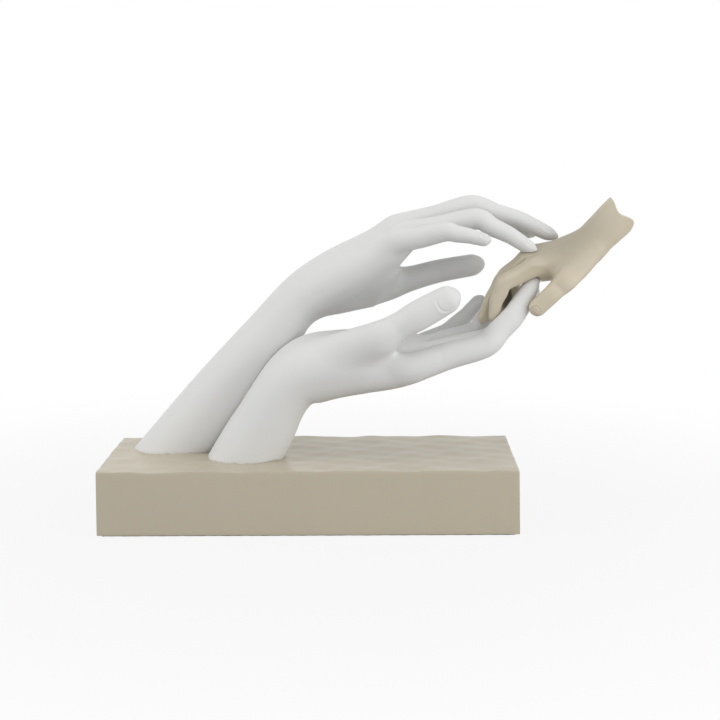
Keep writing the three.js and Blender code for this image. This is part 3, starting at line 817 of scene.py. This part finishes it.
def felt_sheet():
    """A soft box of felt. Its cut edges draw in and out by sums of two sine waves along them."""
    points, triangles = soft_box(FELT_LOW, FELT_HIGH, FELT_ROUNDING, FELT_CELL)
    x, y = points[:, 0].copy(), points[:, 1].copy()
    for axis, along in ((0, y), (1, x)):
        edge = FELT_HIGH[axis] - np.abs(points[:, axis])
        wander = FELT_WANDER * (2 + np.sin(0.31 * along) + np.sin(0.83 * along + 1))
        points[:, axis] -= np.sign(points[:, axis]) * wander * smooth_step(2.5, 0, edge)
    return points, triangles


# Holes for the hardware

def rod(start, end, radius):
    """The skin of a round bar: a circle carried along the line between two points, with a fan to
    the middle at each end."""
    axis = unit_rows(end - start)
    side = unit_rows(np.cross(axis, [0.3, 1, 0.2]))
    angle = np.linspace(0, 2 * np.pi, ROD_SIDES, endpoint=False)[:, None]
    ring = radius * (np.cos(angle) * side + np.sin(angle) * np.cross(axis, side))
    a = np.arange(ROD_SIDES)
    b = np.roll(a, -1)
    c, d = b + ROD_SIDES, a + ROD_SIDES
    first, last = np.full_like(a, 2 * ROD_SIDES), np.full_like(a, 2 * ROD_SIDES + 1)
    faces = ((a, b, c), (a, c, d), (first, b, a), (last, d, c))
    triangles = np.concatenate([np.stack(face, axis=-1) for face in faces])
    return np.vstack([start + ring, end + ring, start, end]), triangles


def upright_hole(node, room, bottom=None, top=None, radius=None):
    """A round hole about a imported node, with room round it, between two heights or past its ends.
    Its radius is the node's, or the one that is given."""
    low, high = packed_box(node)
    middle, half = (low + high) / 2, (high - low) / 2
    bottom = low[2] - room if bottom is None else bottom
    top = high[2] + room if top is None else top
    ends = (np.array([middle[0], middle[1], z]) for z in (bottom, top))
    return rod(*ends, (half[1] if radius is None else radius) + room)


def arm_holes(arm):
    """Pockets for the insert and the dowel in the foot of an arm."""
    return [upright_hole(f"{arm}_arm_{piece}", HARDWARE_CLEARANCE, bottom=BLOCK_TOP - 3)
            for piece in ("insert", "dowel")]


def block_holes(arm):
    """Counterbore, bolt hole and dowel hole under one arm."""
    below, above = BLOCK_LOW[2] - 1, BLOCK_HIGH[2] + 2
    seat = packed_box(f"{arm}_arm_washer")[1][2]
    return [
        upright_hole(f"{arm}_arm_washer", COUNTERBORE_ROOM, below, seat),
        upright_hole(f"{arm}_arm_bolt", BOLT_ROOM, below, above, BOLT_RADIUS),
        upright_hole(f"{arm}_arm_dowel", HARDWARE_CLEARANCE, top=above),
    ]


def pin_hole():
    """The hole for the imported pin, along the direction in which the pin's points spread most."""
    points, _ = arrays_of(bpy.data.objects["child_hand_pin"].data)
    middle = (points.min(axis=0) + points.max(axis=0)) / 2
    axis = np.linalg.svd(points - points.mean(axis=0), full_matrices=False)[2][0]
    half = axis * (PIN_LENGTH / 2 + HARDWARE_CLEARANCE)
    return rod(middle - half, middle + half, PIN_RADIUS + HARDWARE_CLEARANCE)


# Materials

def wired(tree, node, inputs):
    """A node whose inputs have the given values, or links from the given sockets."""
    for key, value in inputs.items():
        if isinstance(value, bpy.types.NodeSocket):
            tree.links.new(value, node.inputs[key])
        else:
            node.inputs[key].default_value = value
    return node


def add_node(tree, kind, inputs, **settings):
    node = tree.nodes.new("ShaderNode" + kind)
    for key, value in settings.items():
        setattr(node, key, value)
    return wired(tree, node, inputs)


def new_material(name, colour, roughness, metallic=0.0):
    """A material, its node tree, its Principled shader and the object coordinates for patterns."""
    material = bpy.data.materials.new(name)
    material.use_nodes = True
    tree = material.node_tree
    shader = wired(tree, tree.nodes["Principled BSDF"], {
        "Base Color": (*colour, 1), "Roughness": roughness, "Metallic": metallic})
    return material, tree, shader, add_node(tree, "TexCoord", {}).outputs["Object"]


def noise(tree, place, scale, detail, roughness=0.5):
    inputs = {"Vector": place, "Scale": scale, "Detail": detail, "Roughness": roughness}
    return add_node(tree, "TexNoise", inputs).outputs["Fac"]


def ranged(tree, value, low, high):
    """Maps 0..1 to low..high."""
    inputs = {"Value": value, "To Min": low, "To Max": high}
    return add_node(tree, "MapRange", inputs).outputs["Result"]


def faded(tree, value, start, end, first, last):
    """Turns softly from first to last while a value goes from start to end."""
    inputs = {"Value": value, "From Min": start, "From Max": end, "To Min": first, "To Max": last}
    return add_node(tree, "MapRange", inputs, interpolation_type="SMOOTHSTEP").outputs["Result"]


def mixed(tree, share, first, second):
    inputs = {"Factor": share, "A": (*first, 1), "B": (*second, 1)}
    return add_node(tree, "Mix", inputs, data_type="RGBA").outputs["Result"]


def bumped(tree, heights):
    """The normal after bumps, each [height, distance in metres, strength], one on another."""
    below = {}
    for height, distance, strength in heights:
        inputs = {"Height": height, "Distance": distance, "Strength": strength, **below}
        below = {"Normal": add_node(tree, "Bump", inputs).outputs["Normal"]}
    return below["Normal"]


def shade(colour, factor):
    return tuple(min(channel * factor, 1) for channel in colour)


# The small hand is a little paler than the block. Two patches of painted shade darken it.
# One is a painted shadow on its back, where the large hand above shades it, and fades
# towards the cuff and the fingers. The other is painted shade in the hollow of its curled
# fingers. Each is [centre, from, to, share], in metres.
CHILD_PALER = 1.19
CHILD_PAINTED_SHADES = (
    ((0.150, -0.005, 0.178), 0.010, 0.044, 0.68),
    ((0.123, -0.001, 0.137), 0.005, 0.014, 0.4),
)


def resin(name, colour, roughness, mottle, painted_shades=()):
    """Matt cast resin: cloudy colour, uneven gloss, a fine sandy tooth and slow hand-finished
    waves. Each patch of painted shade darkens it to a share at a centre, and fades between two
    distances."""
    material, tree, shader, place = new_material(name, colour, roughness)
    clouds = noise(tree, place, 28, 4, 0.55)
    tooth = noise(tree, place, 2600, 2)
    waves = noise(tree, place, 60, 2)
    tone = ranged(tree, clouds, 0.25, 0.75)
    base = mixed(tree, tone, shade(colour, 1 - mottle), shade(colour, 1 + mottle))
    # Painted shade: each patch darkens the colour towards its centre, where shade falls
    for centre, start, end, share in painted_shades:
        away = add_node(tree, "VectorMath", {0: place, 1: centre}, operation="DISTANCE")
        band = faded(tree, away.outputs["Value"], start, end, share, 1.0)
        darker = add_node(tree, "VectorMath", {}, operation="SCALE")
        base = wired(tree, darker, {0: base, "Scale": band}).outputs["Vector"]
    wired(tree, shader, {
        "Base Color": base,
        "Roughness": ranged(tree, clouds, roughness - 0.07, roughness + 0.07),
        "Normal": bumped(tree, [(waves, 0.0004, 0.25), (tooth, 0.00003, 0.35)]),
        "Specular IOR Level": 0.4,
    })
    return material


def felt_cloth(name, colour):
    """Pressed wool felt: short tangled fibres from fine noise over clumps, with a soft sheen."""
    material, tree, shader, place = new_material(name, colour, 0.95)
    fibres = noise(tree, place, 3200, 6, 0.7)
    clumps = noise(tree, place, 450, 3)
    wired(tree, shader, {
        "Base Color": mixed(tree, fibres, shade(colour, 0.6), shade(colour, 1.5)),
        "Normal": bumped(tree, [(clumps, 0.0003, 0.5), (fibres, 0.0001, 0.8)]),
        "Sheen Weight": 0.4,
    })
    return material


def metal(name, colour, roughness):
    """Bright metal with a fine grain and patchy dullness."""
    material, tree, shader, place = new_material(name, colour, roughness, 1.0)
    patches = noise(tree, place, 300, 3)
    marks = noise(tree, place, 5200, 1)
    wired(tree, shader, {
        "Base Color": mixed(tree, patches, shade(colour, 0.9), shade(colour, 1.08)),
        "Roughness": ranged(tree, patches, roughness - 0.1, roughness + 0.12),
        "Normal": bumped(tree, [(marks, 0.00002, 0.4)]),
    })
    return material


def dress(piece, material):
    piece.data.materials.clear()
    piece.data.materials.append(material)


def new_piece(name, arrays, material, node):
    """A finished piece of the object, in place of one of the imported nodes."""
    piece = linked(name, mesh_of(name, *arrays))
    piece.data.set_sharp_from_angle(angle=SHARP_ANGLE)
    dress(piece, material)
    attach(piece, "root")
    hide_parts(node)
    return piece


# Stage

# Camera, from the block's edges in the photograph: where it stands, how it
# turns, and its focal length in pixels of the square frame.
FRAME_PIXELS = 720
CAMERA_AT = (43.706, -897.688, 242.492)
CAMERA_YAW = -0.014216
CAMERA_PITCH = 0.159695
CAMERA_ROLL = -0.007983
FOCAL_PIXELS = 1478.589
SENSOR_WIDTH = 36.0

# The floor turns from near white to white between two distances, in metres
FLOOR_FADE = (0.16, 0.5, 0.88, 1.0)
FLOOR_HALF = 3000.0

# Lamps, in metres: name, place, share of the main lamp's power
LAMPS = (
    ("left_lamp", (-1.3, -0.3, 1.4), 1.0),
    ("right_lamp", (1.4, -0.6, 0.3), 1.2),
    ("front_lamp", (1.0, -1.3, 0.6), 0.42),
    ("low_lamp", (-1.2, -1.2, 0.4), 0.33),
    ("back_lamp", (0.25, 0.8, 1.5), 0.14),
)
LAMP_TARGET = (0.02, 0, 0.1)
LAMP_SIZE = 1.2


def aim(thing, at, right, up, ahead):
    """Puts a camera or a lamp at a place in metres, turned to look ahead."""
    turn = Matrix(np.stack([right, up, -ahead], axis=1).tolist()).to_4x4()
    thing.matrix_world = Matrix.Translation(at) @ turn


def add_camera(scene):
    ahead = np.array([
        math.sin(CAMERA_YAW) * math.cos(CAMERA_PITCH),
        math.cos(CAMERA_YAW) * math.cos(CAMERA_PITCH),
        -math.sin(CAMERA_PITCH),
    ])
    level = np.array([math.cos(CAMERA_YAW), -math.sin(CAMERA_YAW), 0])
    above = np.cross(level, ahead)
    right = level * math.cos(CAMERA_ROLL) + above * math.sin(CAMERA_ROLL)
    up = above * math.cos(CAMERA_ROLL) - level * math.sin(CAMERA_ROLL)
    data = bpy.data.cameras.new("camera")
    data.sensor_width = SENSOR_WIDTH
    data.lens = FOCAL_PIXELS / FRAME_PIXELS * SENSOR_WIDTH
    scene.camera = linked("camera", data)
    aim(scene.camera, [place * MM for place in CAMERA_AT], right, up, ahead)


def add_lamp(name, at, power):
    data = bpy.data.lights.new(name, "AREA")
    data.shape = "DISK"
    data.size = LAMP_SIZE
    data.energy = power
    ahead = unit_rows(np.array(LAMP_TARGET) - np.array(at))
    side = unit_rows(np.cross(ahead, [0, 0, 1]))
    aim(linked(name, data), at, side, np.cross(side, ahead), ahead)


def white_seen(tree):
    """1 for rays from the camera or off glossy and clear surfaces, which see plain white."""
    path = add_node(tree, "LightPath", {}).outputs
    total = path["Is Camera Ray"]
    for ray in ("Is Glossy Ray", "Is Transmission Ray"):
        inputs = {0: total, 1: path[ray]}
        total = add_node(tree, "Math", inputs, operation="ADD", use_clamp=True).outputs[0]
    return total


def show(tree, end, share, first, second):
    """Shows two shaders at the end node of a tree, mixed by the share of the second."""
    mix = add_node(tree, "MixShader", {0: share, 1: first.outputs[0], 2: second.outputs[0]})
    wired(tree, tree.nodes[end], {"Surface": mix.outputs[0]})


def add_floor():
    """A wide white floor that keeps the object's shadow."""
    points = FLOOR_HALF * np.array([[-1, -1, 0], [1, -1, 0], [1, 1, 0], [-1, 1, 0]])
    floor = linked("floor", mesh_of("floor", points, np.array([[0, 1, 2], [0, 2, 3]])))
    material, tree, shader, place = new_material("white_floor", (0.5, 0.5, 0.5), 0.8)
    shader.inputs["Specular IOR Level"].default_value = 0.0
    glow = add_node(tree, "Emission", {"Strength": 1.0})
    far = add_node(tree, "VectorMath", {0: place}, operation="LENGTH").outputs["Value"]
    inputs = {0: white_seen(tree), 1: faded(tree, far, *FLOOR_FADE)}
    share = add_node(tree, "Math", inputs, operation="MULTIPLY").outputs[0]
    show(tree, "Material Output", share, shader, glow)
    dress(floor, material)


def add_sky(scene, strength):
    """Even light from all sides, seen as plain white."""
    world = bpy.data.worlds.new("studio")
    world.use_nodes = True
    tree = world.node_tree
    light = wired(tree, tree.nodes["Background"], {"Color": (1, 1, 1, 1), "Strength": strength})
    white = add_node(tree, "Background", {"Color": (1, 1, 1, 1), "Strength": 1.0})
    show(tree, "World Output", white_seen(tree), light, white)
    scene.world = world


# Settings

def number(name, description, default, **limits):
    return FloatProperty(name=name, description=description, default=default, **limits)


def tint(name, description, default):
    return FloatVectorProperty(
        name=name, description=description, subtype="COLOR", default=default)


class SculptureSizes(bpy.types.PropertyGroup):
    """Sizes of the sculpture's surface, in millimetres"""

    voxel: number("Voxel", "Fineness of an adult hand's mesh", 0.95, min=0.3)
    casting_gap: number("Casting gap", "Room between touching castings", 0.3)
    foot_sink: number("Foot sink", "How far an arm's foot lies in the ripples", 0.2)
    detail_depth: number("Detail depth", "Depth of nail grooves and creases", 0.4)
    edge_radius: number("Edge radius", "Rounding of the block's edges", 0.6)
    cell: number("Cell", "Fineness of the block's mesh", 1.25, min=0.5)


class SculptureFinish(bpy.types.PropertyGroup):
    """Colours of the sculpture's materials and the stage"""

    white_resin: tint("White resin", "Colour of the two large hands", (0.70, 0.70, 0.692))
    taupe_resin: tint("Taupe resin", "Colour of the small hand and block", (0.487, 0.434, 0.335))
    felt: tint("Felt", "Colour of the felt sheet", (0.045, 0.043, 0.04))
    zinc: tint("Zinc", "Colour of the plated steel", (0.72, 0.74, 0.75))
    brass: tint("Brass", "Colour of the threaded inserts", (0.79, 0.64, 0.35))
    key_power: number("Key light", "Power of the main lamp", 8.1, unit="POWER")
    sky: number("Sky light", "Strength of the even light from all sides", 0.7)


# Operators

class SCULPTURE_OT_block(bpy.types.Operator):
    """Build the rippled block that the arms stand on"""

    bl_idname = "sculpture.block"
    bl_label = "Block"

    def execute(self, context):
        sizes, finish = context.scene.sculpture_sizes, context.scene.sculpture_finish
        material = resin("taupe_resin_block", finish.taupe_resin, 0.32, 0.03)
        holes = [hole for arm in ("rear", "front") for hole in block_holes(arm)]
        arrays = bored("rippled_block", rippled_block(sizes), holes)
        new_piece("rippled_block", arrays, material, "base_block")
        return {"FINISHED"}


class SCULPTURE_OT_hands(bpy.types.Operator):
    """Cast the three hands"""

    bl_idname = "sculpture.hands"
    bl_label = "Hands"

    def execute(self, context):
        sizes, finish = context.scene.sculpture_sizes, context.scene.sculpture_finish
        white = resin("white_resin_hands", finish.white_resin, 0.55, 0.012)
        paler = shade(finish.taupe_resin, CHILD_PALER)
        # The small hand's material carries painted shade on its back and in the hollow of its
        # fingers
        taupe = resin("taupe_resin_hand", paler, 0.5, 0.03, CHILD_PAINTED_SHADES)
        front, child = hand_limbs(FRONT_HAND), hand_limbs(CHILD_HAND)
        pin = pin_hole()
        front_holes = [*arm_holes("front"), pin]
        casts = (
            ("rear", REAR_HAND, [front, child], True, arm_holes("rear"), white, "white_resin"),
            ("front", FRONT_HAND, [], True, front_holes, white, "white_resin"),
            ("child", CHILD_HAND, [front], False, [pin], taupe, "taupe_resin"),
        )
        for whose, table, others, is_standing, holes, material, slot in casts:
            name = f"{whose}_hand_casting"
            arrays = hand_casting(name, table, sizes, others, is_standing, holes)
            new_piece(name, arrays, material, f"{whose}_hand")
        return {"FINISHED"}


class SCULPTURE_OT_felt(bpy.types.Operator):
    """Lay the felt sheet under the block"""

    bl_idname = "sculpture.felt"
    bl_label = "Felt"

    def execute(self, context):
        cloth = felt_cloth("felt", context.scene.sculpture_finish.felt)
        piece = new_piece("felt_pad", felt_sheet(), cloth, "felt_sheet")
        return {"FINISHED"}


class SCULPTURE_OT_fixings(bpy.types.Operator):
    """Give the bolts, washers, inserts, dowels and pin their metals"""

    bl_idname = "sculpture.fixings"
    bl_label = "Fixings"

    def execute(self, context):
        finish = context.scene.sculpture_finish
        zinc = metal("zinc_plate", finish.zinc, 0.35)
        brass = metal("turned_brass", finish.brass, 0.3)
        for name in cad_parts:
            if name.endswith(("bolt", "washer", "dowel", "pin")):
                dress(bpy.data.objects[name], zinc)
            elif name.endswith("insert"):
                dress(bpy.data.objects[name], brass)
        return {"FINISHED"}


class SCULPTURE_OT_stage(bpy.types.Operator):
    """Set the camera, the floor and the lights"""

    bl_idname = "sculpture.stage"
    bl_label = "Stage"

    def execute(self, context):
        finish = context.scene.sculpture_finish
        add_camera(context.scene)
        add_floor()
        add_sky(context.scene, finish.sky)
        for name, at, share in LAMPS:
            add_lamp(name, at, share * finish.key_power)
        context.scene.view_settings.view_transform = "Standard"
        return {"FINISHED"}


class SCULPTURE_PT_panel(bpy.types.Panel):
    """Buttons and settings of the sculpture"""

    bl_idname = "SCULPTURE_PT_panel"
    bl_label = "Hand Sculpture"
    bl_space_type = "VIEW_3D"
    bl_region_type = "UI"
    bl_category = "Sculpture"

    def draw(self, context):
        for operator in OPERATORS:
            self.layout.operator(operator.bl_idname)
        for group in (context.scene.sculpture_sizes, context.scene.sculpture_finish):
            box = self.layout.box()
            for name in group.__annotations__:
                box.prop(group, name)


OPERATORS = (
    SCULPTURE_OT_stage, SCULPTURE_OT_block, SCULPTURE_OT_felt, SCULPTURE_OT_hands,
    SCULPTURE_OT_fixings,
)
CLASSES = (SculptureSizes, SculptureFinish, *OPERATORS, SCULPTURE_PT_panel)


def register():
    for made in CLASSES:
        bpy.utils.register_class(made)
    bpy.types.Scene.sculpture_sizes = PointerProperty(type=SculptureSizes)
    bpy.types.Scene.sculpture_finish = PointerProperty(type=SculptureFinish)


def unregister():
    del bpy.types.Scene.sculpture_finish
    del bpy.types.Scene.sculpture_sizes
    for made in reversed(CLASSES):
        bpy.utils.unregister_class(made)


def main():
    register()
    bpy.ops.sculpture.stage()
    bpy.ops.sculpture.block()
    bpy.ops.sculpture.felt()
    bpy.ops.sculpture.hands()
    bpy.ops.sculpture.fixings()


if __name__ == "__main__":
    main()
